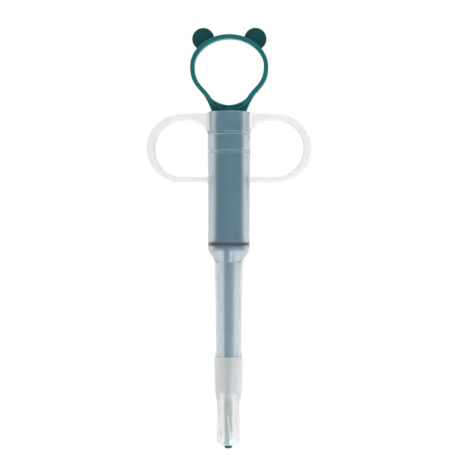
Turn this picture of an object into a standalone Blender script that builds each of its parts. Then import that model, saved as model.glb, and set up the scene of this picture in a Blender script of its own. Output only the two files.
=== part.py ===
"""Oral syringe: a hand-held feeder for pills and liquids, upright with its thumb ring on top.

Z runs up the barrel's axis to the thumb ring, X runs through the two finger loops, and Y through their
thickness. The origin is the centre of the barrel's open mouth. Lengths are in metres.
Four pieces: the barrel with its finger loops, the plunger with its thumb ring and push rod, the seal in the
plunger's piston, and the silicone tip that is pushed over the barrel's nose."""

import math

import bmesh
import bpy

MM = 0.001
MERGE_DISTANCE = 0.00001
FLAT_ANGLE = math.radians(0.5)
TURN_STEPS = 48
ARC_STEPS = 20
CUT_OVERSHOOT = 5 * MM

# Barrel: heights are measured from its mouth, and fall towards the nose
MOUTH_RADIUS = 9.12 * MM
STEP_TOP_Z = -18.0 * MM
WAIST_RADIUS = 8.88 * MM
WAIST_Z = -26.0 * MM
SHOULDER_RADIUS = 8.85 * MM
SHOULDER_Z = -58.1 * MM
SHOULDER_STEPS = 8
TUBE_TOP_RADIUS = 5.88 * MM
TUBE_TOP_Z = -64.8 * MM
TUBE_END_RADIUS = 5.2 * MM
TUBE_END_Z = -102.2 * MM
COLLAR_RADIUS = 5.6 * MM
COLLAR_Z = -103.2 * MM
TIP_TOP_Z = -104.8 * MM
NOSE_RADIUS = 4.8 * MM
NOSE_END_Z = -120.4 * MM
NOSE_CHAMFER = (0.4 * MM, 0.6 * MM)
BORE_RADIUS = 7.6 * MM
BORE_END_Z = -59.2 * MM
LUMEN_TOP_RADIUS = 4.5 * MM
LUMEN_TOP_Z = -64.1 * MM
LUMEN_END_RADIUS = 3.6 * MM
BEAD_HEIGHT = 0.35 * MM
BEAD_WIDTH = 1.3 * MM
BEAD_CREST = 0.4  # share of the width
BEAD_ZS = (-9.05 * MM, -17.05 * MM)

# Finger loops: one plate through the barrel, with a round end and an opening on each side
LOOP_DEPTH = 8.0 * MM
LOOP_OUTER_CENTRE = (20.35 * MM, -15.5 * MM)
LOOP_OUTER_RADIUS = 14.65 * MM
LOOP_INNER_CENTRE = (19.72 * MM, -15.75 * MM)
LOOP_INNER_RADIUS = 12.15 * MM
LOOP_FILLET_RADIUS = 8.0 * MM
LOOP_FILLET_RUNOUT = 3.5 * MM
LOOP_ROOT_X = 8.2 * MM

# Thumb ring
FOOT_Z = 0.3 * MM
FOOT_HALF_WIDTH = 7.45 * MM
RING_TOP_Z = 33.1 * MM
RING_HALF_WIDTH = 16.65 * MM
RING_WIDEST_Z = 19.5 * MM
OPENING_TOP_Z = 31.15 * MM
OPENING_BOTTOM_Z = 2.8 * MM
OPENING_HALF_WIDTH = 14.85 * MM
RING_DEPTH = 5.4 * MM
WEB_DEPTH = 3.2 * MM
EAR_DEPTH = 2.2 * MM
EAR_RADIUS = 4.75 * MM
EAR_X = 11.15 * MM
EAR_Z = 31.15 * MM
EAR_CHORD = 55  # degrees to each side of the direction to the ring's centre
EAR_STEPS = 28

# Shaft, piston and push rod
SHAFT_RADIUS = 5.95 * MM
FIN_THICKNESS = 2.6 * MM
WIDE_FIN_TOP_Z = 1.5 * MM  # inside the thumb ring's foot
CROSS_FIN_TOP_Z = 0.1 * MM
FINS_END_Z = -55.0 * MM
FIN_STAGGER = 0.1 * MM
PISTON_RADIUS = 6.8 * MM
PISTON_TOP_Z = -54.6 * MM
PISTON_END_Z = -58.4 * MM
PISTON_CHAMFER = 0.5 * MM
FLANGE_THICKNESS = 0.7 * MM
ROD_TOP_RADIUS = 2.2 * MM
ROD_END_RADIUS = 1.65 * MM
ROD_END_Z = -143.8 * MM

# Seal, in the groove between the piston's two flanges
SEAL_RADIUS = 7.3 * MM
SEAL_INNER_RADIUS = 5.7 * MM
SEAL_TOP_Z = -55.6 * MM
SEAL_END_Z = -57.4 * MM
SEAL_CHAMFER = 0.3 * MM
GAP = 0.3 * MM

# Silicone tip
TIP_END_Z = -142.3 * MM
TIP_BORE_RADIUS = 5.1 * MM
SOCKET_RADIUS = 3.7 * MM
SOCKET_TOP_Z = -122.7 * MM
SOCKET_END_Z = -140.0 * MM
JAW_RADIUS = 2.0 * MM
JAW_LENGTH = 0.7 * MM

FROSTED = (0.78, 0.80, 0.80, 1)
TEAL = (0.003, 0.127, 0.112, 1)
BLACK = (0.02, 0.022, 0.027, 1)
SILICONE = (0.72, 0.70, 0.67, 1)


def clear_scene():
    for item in list(bpy.data.objects):
        bpy.data.objects.remove(item)


def new_collection(name):
    group = bpy.data.collections.new(name)
    bpy.context.scene.collection.children.link(group)
    return group


def new_material(name, colour, roughness):
    material = bpy.data.materials.new(name)
    material.use_nodes = True
    shader = material.node_tree.nodes["Principled BSDF"]
    shader.inputs["Base Color"].default_value = colour
    shader.inputs["Roughness"].default_value = roughness
    shader.inputs["Metallic"].default_value = 0
    return material


def place(name, mesh, group, material=None):
    """A new object in a collection; one with no material only cuts or adds to another."""
    item = bpy.data.objects.new(name, mesh)
    group.objects.link(item)
    if material:
        mesh.materials.append(material)
    else:
        item.hide_render = True
        item.display_type = "WIRE"
    return item


def turned(name, profile, group, material=None, closed=False):
    """A solid turned about Z. The profile, as (radius, height), runs down its outer side first."""
    mesh = bpy.data.meshes.new(name)
    count = len(profile)
    edges = [(i, (i + 1) % count) for i in range(count if closed else count - 1)]
    mesh.from_pydata([(radius, 0, height) for radius, height in profile], edges, [])
    item = place(name, mesh, group, material)
    screw = item.modifiers.new("Turn", "SCREW")
    screw.steps = TURN_STEPS
    screw.render_steps = TURN_STEPS
    screw.use_merge_vertices = True
    screw.merge_threshold = MERGE_DISTANCE
    return item


def flat_curve(name, depth, resolution):
    curve = bpy.data.curves.new(name, "CURVE")
    curve.dimensions = "2D"
    curve.fill_mode = "BOTH"
    curve.extrude = depth / 2
    curve.resolution_u = resolution
    return curve


def add_polygon(curve, points):
    spline = curve.splines.new("POLY")
    spline.points.add(len(points) - 1)
    for point, (x, y) in zip(spline.points, points):
        point.co = (x, y, 0, 1)
    spline.use_cyclic_u = True


def add_bezier(curve, knots):
    """A closed outline of (point, handle before it, handle after it)."""
    spline = curve.splines.new("BEZIER")
    spline.bezier_points.add(len(knots) - 1)
    for point, (co, before, after) in zip(spline.bezier_points, knots):
        point.handle_left_type = point.handle_right_type = "FREE"
        point.co = (*co, 0)
        point.handle_left = (*before, 0)
        point.handle_right = (*after, 0)
    spline.use_cyclic_u = True


def mesh_from_curve(name, curve, group, material=None, upright=True, height=0.0):
    """The closed mesh of a filled curve, which is drawn in XZ if it is upright and in XY if it isn't."""
    drawn = bpy.data.objects.new(name + "_curve", curve)
    bpy.context.scene.collection.objects.link(drawn)
    drawn.rotation_euler.x = math.radians(90) if upright else 0
    drawn.location.z = height
    bpy.context.view_layer.update()
    evaluated = drawn.evaluated_get(bpy.context.evaluated_depsgraph_get())
    mesh = bpy.data.meshes.new_from_object(evaluated)
    mesh.name = name
    welded = bmesh.new()
    welded.from_mesh(mesh)
    bmesh.ops.remove_doubles(welded, verts=welded.verts, dist=MERGE_DISTANCE)
    bmesh.ops.dissolve_degenerate(welded, edges=welded.edges, dist=MERGE_DISTANCE)
    bmesh.ops.dissolve_limit(welded, verts=welded.verts, edges=welded.edges, angle_limit=FLAT_ANGLE)
    bmesh.ops.recalc_face_normals(welded, faces=welded.faces)
    welded.to_mesh(mesh)
    welded.free()
    mesh.shade_smooth()
    mesh.set_sharp_from_angle(angle=math.radians(30))
    item = place(name, mesh, group, material)
    item.matrix_world = drawn.matrix_world
    bpy.data.objects.remove(drawn)
    return item


def combine(item, other, operation):
    boolean = item.modifiers.new(f"{operation.title()} {other.name}", "BOOLEAN")
    boolean.operation = operation
    boolean.object = other


def arc(centre, radii, start, end, steps=ARC_STEPS):
    """Points of an ellipse's arc between two angles in degrees, both ends included."""
    angles = [math.radians(start + (end - start) * i / steps) for i in range(steps + 1)]
    return [(centre[0] + radii[0] * math.cos(a), centre[1] + radii[1] * math.sin(a)) for a in angles]


def eased(start, end, steps):
    """Points of an S-shaped turned outline from one (radius, height) to another, both ends included."""
    points = []
    for i in range(steps + 1):
        share = (1 - math.cos(math.pi * i / steps)) / 2
        points.append((start[0] + (end[0] - start[0]) * share, start[1] + (end[1] - start[1]) * i / steps))
    return points


def mirrored(points):
    return [(-x, z) for x, z in reversed(points)]


def mirrored_knots(half):
    """A closed outline from its knots on the +X side, listed from the top down; ends at X = 0 stay single."""
    other = []
    for knot in reversed(half):
        co, before, after = [(-x, z) for x, z in knot]
        if abs(co[0]) > MERGE_DISTANCE:
            other.append((co, after, before))
    return half + other


def barrel_profile():
    """The outside: the wide part, a little slimmer below the loops, then the shoulder, tube, collar and nose."""
    return [
        (0, 0),
        (MOUTH_RADIUS, 0),
        (MOUTH_RADIUS, STEP_TOP_Z),
        (WAIST_RADIUS, WAIST_Z),
        *eased((SHOULDER_RADIUS, SHOULDER_Z), (TUBE_TOP_RADIUS, TUBE_TOP_Z), SHOULDER_STEPS),
        (TUBE_END_RADIUS, TUBE_END_Z),
        (COLLAR_RADIUS, COLLAR_Z),
        (COLLAR_RADIUS, TIP_TOP_Z + GAP),
        (NOSE_RADIUS, TIP_TOP_Z + GAP),
        (NOSE_RADIUS, NOSE_END_Z + NOSE_CHAMFER[1]),
        (NOSE_RADIUS - NOSE_CHAMFER[0], NOSE_END_Z),
        (0, NOSE_END_Z),
    ]


def bore_profile():
    """The inside: the wide bore with its beads, the inner cone and the narrow lumen, open at both ends."""
    foot, crest = BEAD_WIDTH / 2, BEAD_WIDTH * BEAD_CREST / 2
    beads = []
    for z in BEAD_ZS:
        beads += [
            (BORE_RADIUS, z + foot),
            (BORE_RADIUS - BEAD_HEIGHT, z + crest),
            (BORE_RADIUS - BEAD_HEIGHT, z - crest),
            (BORE_RADIUS, z - foot),
        ]
    above, below = CUT_OVERSHOOT, NOSE_END_Z - CUT_OVERSHOOT
    return [
        (0, above),
        (BORE_RADIUS, above),
        *beads,
        (BORE_RADIUS, BORE_END_Z),
        (LUMEN_TOP_RADIUS, LUMEN_TOP_Z),
        (LUMEN_END_RADIUS, NOSE_END_Z),
        (LUMEN_END_RADIUS, below),
        (0, below),
    ]


def loop_outlines():
    """The rim of the finger plate and its two openings, whose inner sides lie inside the barrel's wall."""
    outer = arc(LOOP_OUTER_CENTRE, (LOOP_OUTER_RADIUS, LOOP_OUTER_RADIUS), -90, 90)
    top = LOOP_INNER_CENTRE[1] + LOOP_INNER_RADIUS
    fillet_centre = (MOUTH_RADIUS + LOOP_FILLET_RADIUS, top - LOOP_FILLET_RADIUS)
    fillet = arc(fillet_centre, (LOOP_FILLET_RADIUS, LOOP_FILLET_RADIUS), 90, 180, ARC_STEPS // 2)
    opening = [
        (LOOP_ROOT_X, LOOP_INNER_CENTRE[1] - LOOP_INNER_RADIUS),
        *arc(LOOP_INNER_CENTRE, (LOOP_INNER_RADIUS, LOOP_INNER_RADIUS), -90, 90),
        *fillet,
        (LOOP_ROOT_X, fillet_centre[1] - LOOP_FILLET_RUNOUT),
    ]
    return [outer + mirrored(outer), opening, mirrored(opening)]


def make_barrel(parts, helpers, material):
    barrel = turned("barrel", barrel_profile(), parts, material)
    curve = flat_curve("finger_loops", LOOP_DEPTH, resolution=1)
    for outline in loop_outlines():
        add_polygon(curve, outline)
    combine(barrel, mesh_from_curve("finger_loops", curve, helpers), "UNION")
    combine(barrel, turned("bore", bore_profile(), helpers), "DIFFERENCE")


def ring_outline():
    """The thumb ring's silhouette: an oval that flares inwards and down to the foot on the barrel's mouth."""
    top, side = (0, RING_TOP_Z), (RING_HALF_WIDTH, RING_WIDEST_Z)
    flare, foot = (11.6 * MM, 8.0 * MM), (FOOT_HALF_WIDTH, FOOT_Z)
    return mirrored_knots([
        (top, (-9.1 * MM, top[1]), (9.1 * MM, top[1])),
        (side, (side[0], 26.8 * MM), (side[0], 14.1 * MM)),
        (flare, (15.35 * MM, 12.1 * MM), (10.15 * MM, 6.4 * MM)),
        (foot, (8.5 * MM, 3.2 * MM), (foot[0] / 2, foot[1])),
    ])


def recess_outline():
    """The recess beside the foot, which leaves the rim standing; its outer side lies clear of the ring."""
    clear_x, clear_z = 12.6 * MM, -1.0 * MM
    return [
        (clear_x, 8.2 * MM),
        (11.2 * MM, 7.5 * MM),
        (9.6 * MM, 5.7 * MM),
        (8.2 * MM, 4.0 * MM),
        (6.7 * MM, 2.6 * MM),
        (5.0 * MM, 1.6 * MM),
        (2.8 * MM, 0.9 * MM),
        (1.6 * MM, clear_z),
        (clear_x, clear_z),
    ]


def opening_outline():
    """The thumb opening: an oval top on a narrower round bottom."""
    top, side = (0, OPENING_TOP_Z), (OPENING_HALF_WIDTH, RING_WIDEST_Z)
    lower, bottom = (7.8 * MM, 6.2 * MM), (0, OPENING_BOTTOM_Z)
    return mirrored_knots([
        (top, (-8.0 * MM, top[1]), (8.0 * MM, top[1])),
        (side, (side[0], 25.5 * MM), (side[0], 11.9 * MM)),
        (lower, (10.95 * MM, 11.3 * MM), (6.8 * MM, 4.6 * MM)),
        (bottom, (2.9 * MM, bottom[1]), (-2.9 * MM, bottom[1])),
    ])


def fin_outline(turn):
    """The section of one of the shaft's two crossed fins, whose ends lie on the shaft's circle."""
    spread = math.degrees(math.asin(FIN_THICKNESS / 2 / SHAFT_RADIUS))
    radii = (SHAFT_RADIUS, SHAFT_RADIUS)
    return [
        *arc((0, 0), radii, turn - spread, turn + spread, steps=4),
        *arc((0, 0), radii, turn + 180 - spread, turn + 180 + spread, steps=4),
    ]


def make_fin(name, turn, top, bottom, group, material=None):
    curve = flat_curve(name, top - bottom, resolution=1)
    add_polygon(curve, fin_outline(turn))
    return mesh_from_curve(name, curve, group, material, upright=False, height=(top + bottom) / 2)


def piston_profile():
    """The piston with its seal groove, and the tapered push rod down to its round end."""
    groove = SEAL_INNER_RADIUS - GAP
    lower = PISTON_END_Z + FLANGE_THICKNESS
    dome_z = ROD_END_Z + ROD_END_RADIUS
    dome = arc((0, dome_z), (ROD_END_RADIUS, ROD_END_RADIUS), 0, -90, steps=6)[:-1]
    return [
        (0, PISTON_TOP_Z),
        (PISTON_RADIUS, PISTON_TOP_Z),
        (PISTON_RADIUS, PISTON_TOP_Z - FLANGE_THICKNESS),
        (groove, PISTON_TOP_Z - FLANGE_THICKNESS),
        (groove, lower),
        (PISTON_RADIUS, lower),
        (PISTON_RADIUS - PISTON_CHAMFER, PISTON_END_Z),
        (ROD_TOP_RADIUS, PISTON_END_Z),
        *dome,
        (0, ROD_END_Z),
    ]


def make_ring(helpers):
    """The thumb ring with a recess beside its foot on each face."""
    curve = flat_curve("thumb_ring", RING_DEPTH, resolution=10)
    add_bezier(curve, ring_outline())
    add_bezier(curve, opening_outline())
    ring = mesh_from_curve("thumb_ring", curve, helpers)
    for name, side in (("front_recess", -1), ("back_recess", 1)):
        curve = flat_curve(name, RING_DEPTH - WEB_DEPTH, resolution=1)
        add_polygon(curve, recess_outline())
        add_polygon(curve, mirrored(recess_outline()))
        recess = mesh_from_curve(name, curve, helpers)
        recess.location.y = side * RING_DEPTH / 2
        combine(ring, recess, "DIFFERENCE")
    return ring


def make_ear(name, x, helpers):
    """A round disc, whose chord towards the ring's centre keeps it clear of the thumb opening."""
    facing = math.degrees(math.atan2(RING_WIDEST_Z - EAR_Z, -x))
    curve = flat_curve(name, EAR_DEPTH, resolution=1)
    radii = (EAR_RADIUS, EAR_RADIUS)
    add_polygon(curve, arc((x, EAR_Z), radii, facing + EAR_CHORD, facing + 360 - EAR_CHORD, EAR_STEPS))
    return mesh_from_curve(name, curve, helpers)


def make_plunger(parts, helpers, material):
    plunger = make_fin("plunger", 0, WIDE_FIN_TOP_Z, FINS_END_Z, parts, material)
    pieces = [
        make_fin("cross_fin", 90, CROSS_FIN_TOP_Z, FINS_END_Z - FIN_STAGGER, helpers),
        make_ring(helpers),
        make_ear("left_ear", -EAR_X, helpers),
        make_ear("right_ear", EAR_X, helpers),
        turned("piston", piston_profile(), helpers),
    ]
    for piece in pieces:
        combine(plunger, piece, "UNION")


def make_seal(parts, material):
    turned("piston_seal", [
        (SEAL_INNER_RADIUS, SEAL_TOP_Z),
        (SEAL_RADIUS - SEAL_CHAMFER, SEAL_TOP_Z),
        (SEAL_RADIUS, SEAL_TOP_Z - SEAL_CHAMFER),
        (SEAL_RADIUS, SEAL_END_Z + SEAL_CHAMFER),
        (SEAL_RADIUS - SEAL_CHAMFER, SEAL_END_Z),
        (SEAL_INNER_RADIUS, SEAL_END_Z),
    ], parts, material, closed=True)


def make_tip(parts, material):
    """The sleeve over the nose, the pill socket below it and the mouth that closes on the rod."""
    outside = [
        (5.95 * MM, TIP_TOP_Z),
        (5.95 * MM, -108.5 * MM),
        (5.62 * MM, -119.8 * MM),
        (4.9 * MM, -123.6 * MM),
        (4.68 * MM, -127.0 * MM),
        (4.68 * MM, -130.5 * MM),
        (5.0 * MM, -140.2 * MM),
        (4.55 * MM, -141.8 * MM),
        (3.7 * MM, TIP_END_Z),
    ]
    inside = [
        (JAW_RADIUS, TIP_END_Z),
        (JAW_RADIUS, TIP_END_Z + JAW_LENGTH),
        (SOCKET_RADIUS, SOCKET_END_Z),
        (SOCKET_RADIUS, SOCKET_TOP_Z),
        (TIP_BORE_RADIUS, NOSE_END_Z - GAP),
        (TIP_BORE_RADIUS, TIP_TOP_Z),
    ]
    turned("silicone_tip", outside + inside, parts, material, closed=True)


def main():
    clear_scene()
    parts = new_collection("oral_syringe")
    helpers = new_collection("helpers")
    make_barrel(parts, helpers, new_material("frosted polypropylene", FROSTED, 0.45))
    make_plunger(parts, helpers, new_material("teal plastic", TEAL, 0.4))
    make_seal(parts, new_material("black elastomer", BLACK, 0.6))
    make_tip(parts, new_material("translucent silicone", SILICONE, 0.5))


main()
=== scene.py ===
"""Looks of the oral syringe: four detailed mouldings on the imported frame, a pale floor and soft light.

Lengths are in metres. Z is the barrel's axis, X runs through the finger loops, and the front faces -Y.
The origin is the centre of the barrel's open mouth, as in the frame."""

import math

import bmesh
import bpy
from mathutils import Matrix, Vector


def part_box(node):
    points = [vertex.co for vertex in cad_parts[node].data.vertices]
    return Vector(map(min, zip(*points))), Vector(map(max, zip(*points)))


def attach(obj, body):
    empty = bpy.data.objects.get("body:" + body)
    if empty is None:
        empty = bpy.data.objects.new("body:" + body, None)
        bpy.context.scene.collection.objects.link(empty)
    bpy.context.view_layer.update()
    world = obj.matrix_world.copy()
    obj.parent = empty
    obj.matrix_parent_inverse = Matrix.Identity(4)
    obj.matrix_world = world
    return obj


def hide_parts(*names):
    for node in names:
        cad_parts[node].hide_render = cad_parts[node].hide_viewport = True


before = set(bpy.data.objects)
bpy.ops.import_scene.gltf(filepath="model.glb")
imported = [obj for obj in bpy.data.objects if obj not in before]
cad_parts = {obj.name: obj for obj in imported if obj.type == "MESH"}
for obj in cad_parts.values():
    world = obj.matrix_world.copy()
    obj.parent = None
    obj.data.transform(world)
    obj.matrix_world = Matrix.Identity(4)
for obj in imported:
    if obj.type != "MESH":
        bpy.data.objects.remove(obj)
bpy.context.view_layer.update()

MM = 0.001
WELD = 0.000002
TURN_STEPS = 144
TIP_STEPS = 128
PISTON_STEPS = 96
SMOOTH_ANGLE = math.radians(32)

# Sizes that the frame gives
BARREL_LOW, BARREL_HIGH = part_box("barrel")
PLUNGER_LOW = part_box("plunger")[0]
SEAL_LOW, SEAL_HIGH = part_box("piston_seal")
TIP_LOW, TIP_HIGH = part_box("silicone_tip")

# Barrel
MOUTH_RADIUS = BARREL_HIGH.y
STEP = (-16.0 * MM, -28.0 * MM)
WAIST_RADIUS = 8.88 * MM
SHOULDER = (8.85 * MM, -58.1 * MM)
TUBE_TOP = (5.88 * MM, -64.8 * MM)
TUBE_END = (5.2 * MM, -102.2 * MM)
COLLAR_RADIUS = 5.6 * MM
BORE_RADIUS = 7.6 * MM
BORE_END_Z = -59.2 * MM
LUMEN_TOP = (4.5 * MM, -64.2 * MM)
LUMEN_END_RADIUS = 3.6 * MM
NOSE_RADIUS = 4.95 * MM
BEAD_ZS = (-9.05 * MM, -17.05 * MM)
BEAD_HALF_WIDTH = 0.65 * MM
BEAD_HEIGHT = 0.35 * MM

# Finger loops
LOOP_HALF_DEPTH = 4.0 * MM
LOOP_OUTER_RADIUS = 14.65 * MM
LOOP_OUTER_CENTRE = (BARREL_HIGH.x - LOOP_OUTER_RADIUS, -15.5 * MM)
LOOP_INNER_RADIUS = 12.15 * MM
LOOP_INNER_CENTRE = (19.72 * MM, -15.75 * MM)
LOOP_EDGE = 0.85 * MM
LOOP_RISE = 0.35 * MM
LOOP_WEB_RADIUS = 8.0 * MM
LOOP_ROOT_RADIUS = 8.5 * MM  # inside the barrel's wall
LOOP_FLARE = 0.5 * MM
FLARE_SHARE = 0.6  # of the flare, where it thickens the band's lower root
LOOP_FLAT_X = 14 * MM  # nearer the axis than this, the band bends round with the wall

# Plunger
RING_HALF_DEPTH = 2.7 * MM
RING_WIDEST_Z = 19.5 * MM
WEB_HALF_DEPTH = 1.6 * MM
EAR_HALF_DEPTH = 1.1 * MM
EAR_X, EAR_Z, EAR_RADIUS = 11.15 * MM, 31.15 * MM, 4.75 * MM
EAR_FLAT_RADIUS = 4.2 * MM  # beyond it comes the ear's round edge
FOOT_Z = 0.3 * MM
SHAFT_RADIUS = 5.95 * MM
FIN_HALF = 1.3 * MM
PISTON_RADIUS = 6.8 * MM
PISTON_TOP_Z = -54.6 * MM
PISTON_END_Z = -58.4 * MM
GROOVE_RADIUS = 5.4 * MM
FLANGE = 0.7 * MM
ROD_TOP_RADIUS = 2.2 * MM
ROD_END_RADIUS = 1.65 * MM

# Tip
TIP_RADIUS = 5.95 * MM
SOCKET_RADIUS = 3.7 * MM
JAW_RADIUS = 1.75 * MM
SLIT_LENGTH = 13.2 * MM

# Light, as brightness beside the white background's
FRONT_LEVEL = 0.33
BACK_LEVEL = 1.0
STEEP_LEVEL = 2.0
FLOOR_Z = -0.45


# ---- shapes ----

def arc(centre, radius, start, end, steps):
    """Points of a circle's arc between two angles in degrees, both ends included."""
    angles = [math.radians(start + (end - start) * i / steps) for i in range(steps + 1)]
    return [(centre[0] + radius * math.cos(a), centre[1] + radius * math.sin(a)) for a in angles]


def eased(start, end, steps):
    """Points of an S-shaped line from one point to another, both ends included."""
    points = []
    for i in range(steps + 1):
        share = (1 - math.cos(math.pi * i / steps)) / 2
        points.append((start[0] + (end[0] - start[0]) * share, start[1] + (end[1] - start[1]) * i / steps))
    return points


def bezier(a, b, c, d, steps):
    """Points of a cubic curve after its first point, up to its last."""
    points = []
    for i in range(1, steps + 1):
        t = i / steps
        weights = ((1 - t) ** 3, 3 * t * (1 - t) ** 2, 3 * t * t * (1 - t), t ** 3)
        points.append(tuple(sum(w * p[k] for w, p in zip(weights, (a, b, c, d))) for k in (0, 1)))
    return points


def rounded(corners, closed=True, steps=5):
    """An outline through corners (x, y) or (x, y, radius), with an arc at each corner that has a radius."""
    outline = []
    count = len(corners)
    for i, corner in enumerate(corners):
        point = Vector(corner[:2])
        radius = corner[2] if len(corner) > 2 else 0
        if not radius or (not closed and i in (0, count - 1)):
            outline.append(tuple(point))
            continue
        before = Vector(corners[i - 1][:2]) - point
        after = Vector(corners[(i + 1) % count][:2]) - point
        half = before.angle(after) / 2
        reach = min(radius / math.tan(half), before.length * 0.49, after.length * 0.49)
        radius = reach * math.tan(half)
        before.normalize()
        after.normalize()
        centre = point + (before + after).normalized() * (radius / math.sin(half))
        first = point + before * reach - centre
        last = point + after * reach - centre
        turn = math.pi - 2 * half
        for k in range(steps + 1):
            share = k / steps
            spoke = (first * math.sin((1 - share) * turn) + last * math.sin(share * turn)) / math.sin(turn)
            outline.append(tuple(centre + spoke))
    return outline


def mirrored(points):
    """The same points on the -X side, in the opposite order."""
    return [(-x, z) for x, z in reversed(points)]


def new_object(name, mesh):
    item = bpy.data.objects.new(name, mesh)
    bpy.context.scene.collection.objects.link(item)
    return item


def baked(item):
    """The object as a plain mesh: modifiers applied, close points welded, faces turned outwards."""
    bpy.context.view_layer.update()
    graph = bpy.context.evaluated_depsgraph_get()
    mesh = bpy.data.meshes.new_from_object(item.evaluated_get(graph))
    mesh.transform(item.matrix_world)
    welded = bmesh.new()
    welded.from_mesh(mesh)
    bmesh.ops.remove_doubles(welded, verts=welded.verts, dist=WELD)
    bmesh.ops.dissolve_degenerate(welded, edges=welded.edges, dist=WELD)
    bmesh.ops.recalc_face_normals(welded, faces=welded.faces)
    welded.to_mesh(mesh)
    welded.free()
    name = item.name
    bpy.data.objects.remove(item)
    return new_object(name, mesh)


def turned(name, outline, steps=TURN_STEPS):
    """A solid turned about Z from a closed outline of (radius, height)."""
    mesh = bpy.data.meshes.new(name)
    count = len(outline)
    mesh.from_pydata([(r, 0, z) for r, z in outline], [(i, (i + 1) % count) for i in range(count)], [])
    item = new_object(name, mesh)
    screw = item.modifiers.new("Turn", "SCREW")
    screw.steps = screw.render_steps = steps
    screw.use_merge_vertices = True
    screw.merge_threshold = WELD
    return baked(item)


def plate(name, outlines, half_depth, edge, upright=True, middle=0.0):
    """A flat plate with round edges, from closed outlines.

    Upright, it lies in XZ about Y = middle, and otherwise in XY about Z = middle."""
    curve = bpy.data.curves.new(name, "CURVE")
    curve.dimensions = "2D"
    curve.fill_mode = "BOTH"
    curve.extrude = half_depth - edge
    curve.bevel_depth = edge
    curve.bevel_resolution = 3
    curve.offset = -edge
    for outline in outlines:
        spline = curve.splines.new("POLY")
        spline.points.add(len(outline) - 1)
        for point, (x, y) in zip(spline.points, outline):
            point.co = (x, y, 0, 1)
        spline.use_cyclic_u = True
    item = new_object(name, curve)
    if upright:
        item.rotation_euler.x = math.radians(90)
        item.location.y = middle
    else:
        item.location.z = middle
    return baked(item)


def lofted(name, rings):
    """A closed tube through rings of points, with flat ends."""
    sides = len(rings[0])
    points = [point for ring in rings for point in ring]
    faces = []
    for i in range(len(rings) - 1):
        for k in range(sides):
            a, b = i * sides + k, i * sides + (k + 1) % sides
            faces.append((a, b, b + sides, a + sides))
    faces.append(tuple(range(sides)))
    faces.append(tuple(range((len(rings) - 1) * sides, len(rings) * sides)))
    mesh = bpy.data.meshes.new(name)
    mesh.from_pydata(points, [], faces)
    return baked(new_object(name, mesh))


def combined(name, base, others, operation="UNION"):
    """The base joined with, or cut by, the other solids, which are used up."""
    for other in others:
        boolean = base.modifiers.new(other.name, "BOOLEAN")
        boolean.operation = operation
        boolean.object = other
    result = baked(base)
    result.name = name
    for other in others:
        bpy.data.objects.remove(other)
    return result


def smooth(item):
    """Smooth shading, apart from the edges that are sharper than SMOOTH_ANGLE."""
    item.data.shade_smooth()
    item.data.set_sharp_from_angle(angle=SMOOTH_ANGLE)
    item.modifiers.new("Even shading", "WEIGHTED_NORMAL").keep_sharp = True


# ---- barrel ----

def barrel_outline():
    """The wall's section: down the outside from the mouth, round the nose's end and up the inside."""
    nose_z = BARREL_LOW.z
    tip_z = TIP_HIGH.z
    outside = rounded([
        (BORE_RADIUS + 0.5 * MM, 0),
        (MOUTH_RADIUS, 0, 0.4 * MM),
        (MOUTH_RADIUS, STEP[0]),
    ], closed=False)
    outside = outside[:-1] + eased((MOUTH_RADIUS, STEP[0]), (WAIST_RADIUS, STEP[1]), 10)
    collar = rounded([
        TUBE_END,
        (TUBE_END[0] + 0.02 * MM, TUBE_END[1] - 0.2 * MM, 0.3 * MM),
        (COLLAR_RADIUS, TUBE_END[1] - 1.0 * MM, 0.3 * MM),
        (COLLAR_RADIUS, tip_z + 0.12 * MM, 0.25 * MM),
        (NOSE_RADIUS, tip_z + 0.12 * MM, 0.1 * MM),
        (NOSE_RADIUS - 0.1 * MM, nose_z, 0.5 * MM),
        (LUMEN_END_RADIUS, nose_z, 0.25 * MM),
        LUMEN_TOP,
    ], closed=False)
    funnel = rounded([
        LUMEN_TOP,
        (LUMEN_TOP[0] + 0.35 * MM, LUMEN_TOP[1] + 0.25 * MM, 0.2 * MM),
        (BORE_RADIUS, BORE_END_Z, 0.8 * MM),
        (BORE_RADIUS, BORE_END_Z + 3 * MM),
    ], closed=False)
    beads = []
    for z in sorted(BEAD_ZS):
        for i in range(9):
            angle = math.pi * i / 8
            height = BEAD_HEIGHT * math.sin(angle)
            beads.append((BORE_RADIUS - height, z - BEAD_HALF_WIDTH * math.cos(angle)))
    rim = [(BORE_RADIUS, -0.8 * MM), (BORE_RADIUS + 0.12 * MM, -0.3 * MM)]
    return outside + eased(SHOULDER, TUBE_TOP, 20) + collar[:-1] + funnel + beads + rim


def flare(radius, reach):
    """How far a round fillet of that reach stands out at a radius from the axis, near the barrel's wall."""
    inside = min(max(1 - (radius - MOUTH_RADIUS) / reach, 0), 1)
    return reach * (1 - math.sqrt(1 - inside ** 2))


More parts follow.
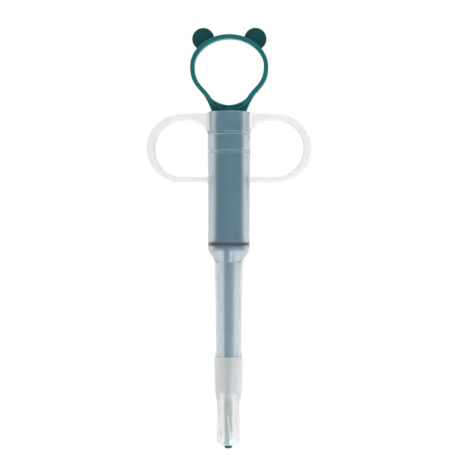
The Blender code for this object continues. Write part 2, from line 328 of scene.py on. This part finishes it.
def loop_stations():
    """Pairs of points on the loop's outer and inner edge, from the upper root round to the lower one."""
    top, bottom = (LOOP_OUTER_CENTRE[1] + side * LOOP_OUTER_RADIUS for side in (1, -1))
    inner_top, inner_bottom = (LOOP_INNER_CENTRE[1] + side * LOOP_INNER_RADIUS for side in (1, -1))
    web_x, web_z = MOUTH_RADIUS + LOOP_WEB_RADIUS, inner_top - LOOP_WEB_RADIUS
    stations = [((LOOP_ROOT_RADIUS, top + LOOP_RISE), (LOOP_ROOT_RADIUS, web_z - 2 * MM))]
    for x, z in arc((web_x, web_z), LOOP_WEB_RADIUS, 176, 90, 18):
        rise = LOOP_RISE * (LOOP_OUTER_CENTRE[0] - x) / (LOOP_OUTER_CENTRE[0] - LOOP_ROOT_RADIUS)
        stations.append(((x, top + rise), (x, z)))
    outer = arc(LOOP_OUTER_CENTRE, LOOP_OUTER_RADIUS, 90, -90, 48)
    inner = arc(LOOP_INNER_CENTRE, LOOP_INNER_RADIUS, 90, -90, 48)
    stations += list(zip(outer, inner))
    for i in range(9):
        x = MOUTH_RADIUS + LOOP_FLARE * (1 - i / 8) ** 1.5
        grow = flare(x, LOOP_FLARE)
        stations.append(((x, bottom - grow * FLARE_SHARE), (x, inner_bottom + grow * FLARE_SHARE)))
    grow = LOOP_FLARE * FLARE_SHARE
    stations.append(((LOOP_ROOT_RADIUS, bottom - grow), (LOOP_ROOT_RADIUS, inner_bottom + grow)))
    return stations


def make_loop(name, side):
    """One finger loop: a band with round edges, which spreads where it runs into the barrel's wall."""
    rings = []
    for outer, inner in loop_stations():
        outer, inner = Vector(outer), Vector(inner)
        middle, across = (outer + inner) / 2, (outer - inner) / 2
        half = across.length
        across.normalize()
        depth = LOOP_HALF_DEPTH + flare(middle.x, LOOP_FLARE)
        ring = []
        for corner, (u, v) in enumerate(((1, 1), (-1, 1), (-1, -1), (1, -1))):
            centre = (u * (half - LOOP_EDGE), v * (depth - LOOP_EDGE))
            for along, y in arc(centre, LOOP_EDGE, 90 * corner, 90 * corner + 90, 5):
                flat = middle + across * along
                near = min(max((LOOP_FLAT_X - flat.x) / (LOOP_FLAT_X - MOUTH_RADIUS), 0), 1)
                x = math.sqrt(flat.x ** 2 - near * y ** 2)
                ring.append((side * x, y, flat.y))
        rings.append(ring)
    return lofted(name, rings)


def make_barrel():
    shell = turned("barrel_shell", barrel_outline())
    loops = [make_loop("left_loop", -1), make_loop("right_loop", 1)]
    return combined("frosted_barrel", shell, loops)


# ---- plunger ----

def half_ring_outline():
    """The thumb ring's outer edge on the +X side, from its top to its flare."""
    top, side, flare_knot = (0, 33.1 * MM), (16.65 * MM, RING_WIDEST_Z), (11.6 * MM, 8.0 * MM)
    points = [top]
    points += bezier(top, (9.1 * MM, top[1]), (side[0], 26.8 * MM), side, 18)
    points += bezier(side, (side[0], 14.1 * MM), (15.35 * MM, 12.1 * MM), flare_knot, 14)
    return points


def ring_outline():
    """The whole silhouette, down to the foot on the barrel's mouth."""
    foot = (7.45 * MM, FOOT_Z)
    half = half_ring_outline()
    half += bezier(half[-1], (10.15 * MM, 6.4 * MM), (8.5 * MM, 3.2 * MM), foot, 10)
    return half + mirrored(half)[:-1]


def rim_outline():
    """The raised rim, which turns in under the opening instead of running down to the foot."""
    turn, bottom = (7.3 * MM, 2.95 * MM), (0, 0.6 * MM)
    half = half_ring_outline()
    half += bezier(half[-1], (10.4 * MM, 6.9 * MM), (8.3 * MM, 4.3 * MM), turn, 10)
    half += bezier(turn, (6.3 * MM, 1.35 * MM), (3.2 * MM, bottom[1]), bottom, 8)
    return half + mirrored(half)[1:-1]


def opening_outline(margin=0.0):
    """The thumb opening's edge, moved outwards by a margin."""
    top, side = (0, 31.15 * MM + margin), (14.85 * MM + margin, RING_WIDEST_Z)
    lower, bottom = (7.8 * MM + margin, 6.2 * MM - margin), (0, 2.8 * MM - margin)
    half = [top]
    half += bezier(top, (8.0 * MM, top[1]), (side[0], 25.5 * MM), side, 18)
    half += bezier(side, (side[0], 11.9 * MM), (10.95 * MM + margin, 11.3 * MM), lower, 14)
    half += bezier(lower, (6.8 * MM + margin, 4.6 * MM - margin), (2.9 * MM, bottom[1]), bottom, 10)
    return half + mirrored(half)[1:-1]


def lens_outline():
    """The shallow recess under the opening, pointed at both ends."""
    end, top, bottom = (6.6 * MM, 4.0 * MM), (0, 2.35 * MM), (0, 1.25 * MM)
    half = [top]
    half += bezier(top, (2.6 * MM, top[1]), (5.2 * MM, 3.0 * MM), end, 10)
    half += bezier(end, (5.4 * MM, 2.0 * MM), (2.8 * MM, bottom[1]), bottom, 10)
    return half + mirrored(half)[1:-1]


def make_ring():
    """The thumb ring: its raised rim, with a recess on both faces, and the thinner web down to the foot."""
    rim = plate("rim", [rim_outline(), opening_outline()], RING_HALF_DEPTH, 0.45 * MM)
    cut_half = 0.5 * MM
    cutters = [
        plate("lens_cut", [lens_outline()], cut_half, 0.1 * MM, middle=side * RING_HALF_DEPTH)
        for side in (-1, 1)
    ]
    rim = combined("rim", rim, cutters, "DIFFERENCE")
    web = plate("web", [ring_outline(), opening_outline(0.5 * MM)], WEB_HALF_DEPTH, 0.3 * MM)
    return rim, web


def make_ear(name, side):
    """One ear: a disc cut straight on the side that faces the ring's middle."""
    facing = math.degrees(math.atan2(RING_WIDEST_Z - EAR_Z, -side * EAR_X))
    outline = arc((side * EAR_X, EAR_Z), EAR_RADIUS, facing + 55, facing + 305, 40)
    return plate(name, [outline], EAR_HALF_DEPTH, 0.35 * MM)


def fin_outline():
    """The shaft's section: a cross with rounded tips and filleted inner corners."""
    tip_x = math.sqrt(SHAFT_RADIUS ** 2 - FIN_HALF ** 2)
    corners = []
    for quarter in range(4):
        turn = Matrix.Rotation(math.radians(90 * quarter), 2)
        for x, y, radius in (
            (tip_x, -FIN_HALF, 0.45 * MM), (SHAFT_RADIUS, 0, 4 * MM), (tip_x, FIN_HALF, 0.45 * MM),
            (FIN_HALF, FIN_HALF, 0.9 * MM),
        ):
            corners.append((*(turn @ Vector((x, y))), radius))
    return rounded(corners)


def make_shaft():
    top, bottom = FOOT_Z + 1.2 * MM, PISTON_TOP_Z - 0.4 * MM
    middle = (top + bottom) / 2
    return plate("shaft", [fin_outline()], (top - bottom) / 2, 0.01 * MM, upright=False, middle=middle)


def make_piston():
    """The two flanges with the seal's groove between them, and the tapered push rod with its round end."""
    lower = PISTON_END_Z + FLANGE
    end_z = PLUNGER_LOW.z
    outline = rounded([
        (0, PISTON_TOP_Z),
        (PISTON_RADIUS, PISTON_TOP_Z, 0.25 * MM),
        (PISTON_RADIUS, PISTON_TOP_Z - FLANGE, 0.12 * MM),
        (GROOVE_RADIUS, PISTON_TOP_Z - FLANGE, 0.15 * MM),
        (GROOVE_RADIUS, lower, 0.15 * MM),
        (PISTON_RADIUS, lower, 0.12 * MM),
        (PISTON_RADIUS - 0.5 * MM, PISTON_END_Z, 0.3 * MM),
        (ROD_TOP_RADIUS, PISTON_END_Z, 1.2 * MM),
        (ROD_END_RADIUS, end_z, 1.2 * MM),
        (0, end_z),
    ], closed=False, steps=8)
    return turned("piston", outline, PISTON_STEPS)


def make_plunger():
    rim, web = make_ring()
    others = [web, make_ear("left_ear", -1), make_ear("right_ear", 1), make_shaft(), make_piston()]
    return combined("teal_plunger", rim, others)


# ---- seal and tip ----

def make_seal():
    """A soft elastomer ring, pressed flat against the bore."""
    top, bottom = SEAL_HIGH.z, SEAL_LOW.z
    radius = BORE_RADIUS + 0.03 * MM
    outline = rounded([
        (GROOVE_RADIUS + 0.02 * MM, top),
        (radius, top, 0.3 * MM),
        (radius, bottom, 0.3 * MM),
        (GROOVE_RADIUS + 0.02 * MM, bottom),
    ])
    return turned("seal_ring", outline)


def tip_outline():
    """The sleeve's section: down the outside to the mouth and up the inside, past the socket's ribs."""
    top, end = TIP_HIGH.z, TIP_LOW.z
    nose_z = BARREL_LOW.z
    outside = rounded([
        (NOSE_RADIUS + 0.05 * MM, top),
        (TIP_RADIUS, top, 0.35 * MM),
        (TIP_RADIUS, top - 3.7 * MM, 8 * MM),
        (5.62 * MM, top - 15.0 * MM, 1.6 * MM),
        (4.9 * MM, top - 18.6 * MM, 2.5 * MM),
        (4.66 * MM, top - 23.0 * MM, 12 * MM),
        (5.0 * MM, end + 1.9 * MM, 1.0 * MM),
        (4.6 * MM, end + 0.6 * MM, 0.7 * MM),
        (3.7 * MM, end, 0.5 * MM),
        (JAW_RADIUS, end, 0.2 * MM),
        (JAW_RADIUS, end + 0.6 * MM, 0.3 * MM),
        (SOCKET_RADIUS, end + 2.6 * MM, 0.8 * MM),
    ], closed=False)
    ribs = []
    first, pitch, half_width, height = end + 6.0 * MM, 2.2 * MM, 0.35 * MM, 0.3 * MM
    for i in range(5):
        for k in range(7):
            angle = math.pi * k / 6
            ribs.append((
                SOCKET_RADIUS - height * math.sin(angle),
                first + i * pitch - half_width * math.cos(angle),
            ))
    inside = rounded([
        ribs[-1],
        (SOCKET_RADIUS, nose_z - 2.4 * MM, 0.5 * MM),
        (NOSE_RADIUS + 0.02 * MM, nose_z - 0.3 * MM, 0.3 * MM),
        (NOSE_RADIUS + 0.05 * MM, top),
    ], closed=False)
    return outside[:-1] + ribs + inside[1:-1]


def make_slit(name, side):
    """A thin cut through one side of the mouth, leaning to the right and slanting through the wall."""
    top, bottom = TIP_LOW.z + SLIT_LENGTH, TIP_LOW.z - 1 * MM
    half_width, lean, slant = 0.04 * MM, 1.15 * MM, 0.2
    rings = []
    for depth in (1.0 * MM, 7.0 * MM):
        y = side * depth
        x = side * slant * (depth - (SOCKET_RADIUS + 0.6 * MM))
        rings.append([
            (x - half_width, y, top),
            (x + half_width, y, top),
            (x - side * lean + half_width, y, bottom),
            (x - side * lean - half_width, y, bottom),
        ])
    return lofted(name, rings)


def make_tip():
    sleeve = turned("sleeve", tip_outline(), TIP_STEPS)
    slits = [make_slit("front_slit", -1), make_slit("back_slit", 1)]
    return combined("soft_tip", sleeve, slits, "DIFFERENCE")


# ---- materials ----

HAZE_ROUGHNESS = 0.6
BORE, LOOPS, NOSE, LUMEN = range(1, 5)  # slots of the barrel's materials, after the wall's
SHADED_TEAL = 1  # slot of the plunger's second material, a darker teal that paints shade
SOCKET, CUT_WITH_HIGHLIGHT = 1, 2  # slots of the tip's second and third materials; the third paints a highlight on the slits' walls


class Nodes:
    """A material's node tree, with short calls to add to it."""

    def __init__(self, name):
        self.material = bpy.data.materials.new(name)
        self.material.use_nodes = True
        self.tree = self.material.node_tree
        self.shader = self.tree.nodes["Principled BSDF"]
        self.place = self.add("ShaderNodeTexCoord").outputs["Object"]

    def add(self, kind, **values):
        node = self.tree.nodes.new(kind)
        for key, value in values.items():
            if key in node.inputs:
                node.inputs[key].default_value = value
            else:
                setattr(node, key, value)
        return node

    def link(self, output, socket):
        self.tree.links.new(output, socket)

    def set(self, **values):
        for key, value in values.items():
            self.shader.inputs[key.replace("_", " ")].default_value = value

    def noise(self, scale, detail=3.0, stretch=(1, 1, 1)):
        """Noise with that many cells to a metre, optionally stretched along an axis."""
        mapping = self.add("ShaderNodeMapping")
        mapping.inputs["Scale"].default_value = stretch
        self.link(self.place, mapping.inputs["Vector"])
        texture = self.add("ShaderNodeTexNoise", Scale=scale, Detail=detail)
        self.link(mapping.outputs["Vector"], texture.inputs["Vector"])
        return texture.outputs["Fac"]

    def spread(self, value, low, high):
        """The value's middle range mapped on to low..high."""
        span = self.add("ShaderNodeMapRange")
        for key, number in (("From Min", 0.3), ("From Max", 0.7), ("To Min", low), ("To Max", high)):
            span.inputs[key].default_value = number
        self.link(value, span.inputs["Value"])
        return span.outputs["Result"]

    def colour(self, value, dark, light):
        """A base colour between dark and light. A mix node's colours are inputs 6 and 7 and output 2."""
        mix = self.add("ShaderNodeMix", data_type="RGBA")
        mix.inputs[6].default_value = (*dark, 1)
        mix.inputs[7].default_value = (*light, 1)
        self.link(self.spread(value, 0, 1), mix.inputs[0])
        self.link(mix.outputs[2], self.shader.inputs["Base Color"])

    def bump(self, value, distance, strength=1.0):
        node = self.add("ShaderNodeBump", Distance=distance, Strength=strength)
        self.link(value, node.inputs["Height"])
        self.link(node.outputs["Normal"], self.shader.inputs["Normal"])

    def haze(self, share, colour, roughness):
        """Mixes in that share of a plain scattering surface, for the plastic's milkiness."""
        cloud = self.add("ShaderNodeBsdfPrincipled", Roughness=roughness)
        cloud.inputs["Base Color"].default_value = (*colour, 1)
        blend = self.add("ShaderNodeMixShader")
        blend.inputs[0].default_value = share
        self.link(self.shader.outputs[0], blend.inputs[1])
        self.link(cloud.outputs[0], blend.inputs[2])
        self.link(blend.outputs[0], self.tree.nodes["Material Output"].inputs["Surface"])


def frosted_material(name, tint, roughness, share, cloud, ior=1.49):
    """Clear polypropylene, with a roughness from low to high and a share of haze in the cloud's colour."""
    nodes = Nodes(name)
    nodes.set(IOR=ior, Transmission_Weight=1.0)
    nodes.colour(nodes.noise(140, 2), tint, [0.9 * level + 0.1 for level in tint])
    nodes.link(nodes.spread(nodes.noise(900, 2), *roughness), nodes.shader.inputs["Roughness"])
    nodes.haze(share, cloud, HAZE_ROUGHNESS)
    return nodes.material


def barrel_materials():
    """The barrel's five finishes, in the order of their slots."""
    warm, clear = (0.995, 0.955, 0.89), (0.97, 0.97, 0.96)
    return [
        frosted_material("frosted wall", warm, (0.22, 0.26), 0.07, (0.50, 0.66, 0.86)),
        # the haze is the plastic's own milkiness; its blue-teal tint is painted bounce light from the teal
        # shaft
        frosted_material("frosted bore", warm, (0.29, 0.33), 0.23, (0.24, 0.59, 0.94)),
        frosted_material("frosted loops", clear, (0.30, 0.34), 0.7, (0.76, 0.77, 0.79)),
        frosted_material("wetted nose", warm, (0.06, 0.10), 0.03, (0.42, 0.62, 0.90), ior=1.2),
        # the haze is the plastic's own milkiness; its blue-teal tint is painted bounce light from the teal
        # rod
        frosted_material("frosted lumen", warm, (0.29, 0.33), 0.34, (0.54, 0.78, 0.98)),
    ]


def faces_axis(face):
    """Whether a face of a turned piece looks inwards."""
    centre, normal = face.center, face.normal
    return centre.x * normal.x + centre.y * normal.y < -0.2 * centre.xy.length


def paint_barrel(item):
    """Gives the loops, the nose, the bore and the lumen their own finishes."""
    for face in item.data.polygons:
        if abs(face.center.x) > MOUTH_RADIUS + 0.2 * MM:
            face.material_index = LOOPS
        elif face.center.z < TIP_HIGH.z:
            face.material_index = NOSE
        elif faces_axis(face):
            face.material_index = LUMEN if face.center.z < LUMEN_TOP[1] else BORE


def teal_material(name, dark, light):
    nodes = Nodes(name)
    nodes.set(IOR=1.5, Specular_IOR_Level=0.22)
    nodes.colour(nodes.noise(220, 3), dark, light)
    nodes.link(nodes.spread(nodes.noise(1200, 3), 0.28, 0.36), nodes.shader.inputs["Roughness"])
    nodes.bump(nodes.noise(3500, 3), 0.00002, 0.3)
    return nodes.material


def plunger_materials():
    return [
        teal_material("teal plastic", (0.001, 0.105, 0.108), (0.002, 0.125, 0.128)),
        # painted shade: a darker copy of the same teal, for the ears and the rod's end
        teal_material("teal with painted shade", (0.001, 0.038, 0.044), (0.002, 0.052, 0.06)),
    ]


def paint_plunger_shade(item):
    """Paints shade on the ears and on the push rod's end, as a deeper copy of the same teal."""
    for face in item.data.polygons:
        centre = face.center
        flat = abs(centre.y) < EAR_HALF_DEPTH + 0.01 * MM
        from_ear = math.hypot(abs(centre.x) - EAR_X, centre.z - EAR_Z)
        within = flat and from_ear < EAR_RADIUS + 0.05 * MM
        on_ear = within and (abs(face.normal.y) > 0.9 or from_ear > EAR_FLAT_RADIUS)
        if on_ear or centre.z < PLUNGER_LOW.z + 1.5 * MM:
            face.material_index = SHADED_TEAL


def rubber_material():
    nodes = Nodes("black elastomer")
    nodes.set(IOR=1.45, Specular_IOR_Level=0.15)
    nodes.colour(nodes.noise(600, 3), (0.010, 0.011, 0.014), (0.018, 0.02, 0.026))
    nodes.link(nodes.spread(nodes.noise(1500, 3), 0.45, 0.6), nodes.shader.inputs["Roughness"])
    nodes.bump(nodes.noise(4000, 2), 0.00003, 0.6)
    return nodes.material


def silicone_material(name, roughness, share, cloud):
    nodes = Nodes(name)
    nodes.set(IOR=1.41, Transmission_Weight=1.0)
    nodes.colour(nodes.noise(160, 2), (0.97, 0.95, 0.90), (0.99, 0.97, 0.93))
    nodes.link(nodes.spread(nodes.noise(900, 2), *roughness), nodes.shader.inputs["Roughness"])
    nodes.haze(share, cloud, HAZE_ROUGHNESS)
    return nodes.material


def tip_materials():
    return [
        silicone_material("milky silicone", (0.29, 0.33), 0.27, (0.80, 0.85, 0.88)),
        silicone_material("moulded socket", (0.29, 0.33), 0.06, (0.74, 0.84, 0.94)),
        # the slits' rough cut walls, painted near white as a highlight along each slit
        silicone_material("cut silicone with painted highlight", (0.4, 0.5), 0.9, (0.95, 0.96, 0.96)),
    ]


def paint_tip(item):
    """The socket's material on the surfaces that face the axis, and on the slits' walls a near-white one,
    which paints a highlight along each slit.
    """
    for face in item.data.polygons:
        centre = face.center
        sideways = abs(face.normal.x) > 0.8 and abs(centre.x) < 2.0 * MM
        if sideways and centre.z < TIP_LOW.z + SLIT_LENGTH:
            face.material_index = CUT_WITH_HIGHLIGHT
        elif faces_axis(face):
            face.material_index = SOCKET


# ---- stage ----

def make_floor():
    mesh = bpy.data.meshes.new("floor")
    x, near, far = 1.4, -0.6, 2.2
    corners = [(-x, near, FLOOR_Z), (x, near, FLOOR_Z), (x, far, FLOOR_Z), (-x, far, FLOOR_Z)]
    mesh.from_pydata(corners, [], [(0, 1, 2, 3)])
    floor = new_object("floor", mesh)
    nodes = Nodes("pale floor")
    nodes.set(Roughness=0.9, Base_Color=(0.62, 0.62, 0.62, 1))
    floor.data.materials.append(nodes.material)


def make_world():
    """A room that is bright above and below, pale behind the object and dim in front of it.

    The camera itself sees plain white."""
    world = bpy.data.worlds.new("studio")
    bpy.context.scene.world = world
    world.use_nodes = True
    tree = world.node_tree
    split = tree.nodes.new("ShaderNodeSeparateXYZ")
    tree.links.new(tree.nodes.new("ShaderNodeTexCoord").outputs["Generated"], split.inputs[0])

    def eased_range(value, start, end, low, high):
        node = tree.nodes.new("ShaderNodeMapRange")
        node.interpolation_type = "SMOOTHSTEP"
        for key, number in (("From Min", start), ("From Max", end), ("To Min", low), ("To Max", high)):
            node.inputs[key].default_value = number
        tree.links.new(value, node.inputs["Value"])
        return node.outputs["Result"]

    def mixed(share, first, second):
        """A mix of two numbers, which are a mix node's inputs 2 and 3."""
        node = tree.nodes.new("ShaderNodeMix")
        for index, value in zip((0, 2, 3), (share, first, second)):
            socket = node.inputs[index]
            if isinstance(value, float):
                socket.default_value = value
            else:
                tree.links.new(value, socket)
        return node.outputs[0]

    round_about = eased_range(split.outputs["Y"], -0.1, 0.35, FRONT_LEVEL, BACK_LEVEL)
    slope = tree.nodes.new("ShaderNodeMath")
    slope.operation = "ABSOLUTE"
    tree.links.new(split.outputs["Z"], slope.inputs[0])
    level = mixed(eased_range(slope.outputs[0], 0.25, 0.55, 0.0, 1.0), round_about, STEEP_LEVEL)
    camera_ray = tree.nodes.new("ShaderNodeLightPath").outputs["Is Camera Ray"]
    background = tree.nodes["Background"]
    background.inputs["Color"].default_value = (1, 1, 1, 1)
    tree.links.new(mixed(camera_ray, level, 1.0), background.inputs["Strength"])


def make_light(name, place, size, watts, aim):
    light = bpy.data.lights.new(name, "AREA")
    light.shape = "RECTANGLE"
    light.size, light.size_y = size
    light.energy = watts
    item = bpy.data.objects.new(name, light)
    bpy.context.scene.collection.objects.link(item)
    item.location = place
    item.rotation_euler = (Vector(aim) - Vector(place)).to_track_quat("-Z", "Y").to_euler()
    item.visible_camera = False


def make_camera():
    """Level with a point a little above the barrel's shoulder, 3 degrees to the right of straight ahead."""
    aim = Vector((0.0007, 0, -0.0507))
    distance, azimuth, roll = 0.78, math.radians(3.0), math.radians(0.15)
    data = bpy.data.cameras.new("camera")
    data.sensor_width = 36
    data.lens = 142.45
    data.clip_start, data.clip_end = 0.05, 30
    camera = bpy.data.objects.new("camera", data)
    bpy.context.scene.collection.objects.link(camera)
    back = Vector((math.sin(azimuth), -math.cos(azimuth), 0))
    camera.location = aim + back * distance
    turn = Matrix.Rotation(azimuth, 4, "Z") @ Matrix.Rotation(math.radians(90), 4, "X")
    camera.rotation_euler = (turn @ Matrix.Rotation(roll, 4, "Z")).to_euler()
    bpy.context.scene.camera = camera


def add_piece(item, materials, body, node):
    item.data.materials.clear()
    for material in materials:
        item.data.materials.append(material)
    smooth(item)
    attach(item, body)
    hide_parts(node)


def main():
    make_camera()
    barrel = make_barrel()
    add_piece(barrel, barrel_materials(), "barrel", "barrel")
    paint_barrel(barrel)
    plunger = make_plunger()
    add_piece(plunger, plunger_materials(), "plunger", "plunger")
    paint_plunger_shade(plunger)
    add_piece(make_seal(), [rubber_material()], "seal", "piston_seal")
    tip = make_tip()
    add_piece(tip, tip_materials(), "tip", "silicone_tip")
    paint_tip(tip)
    make_floor()
    make_world()
    make_light("low strip", place=(0.08, -0.18, -0.284), size=(0.06, 0.3), watts=0.6, aim=(0, 0, -0.062))
    bpy.context.scene.view_settings.view_transform = "Standard"


main()
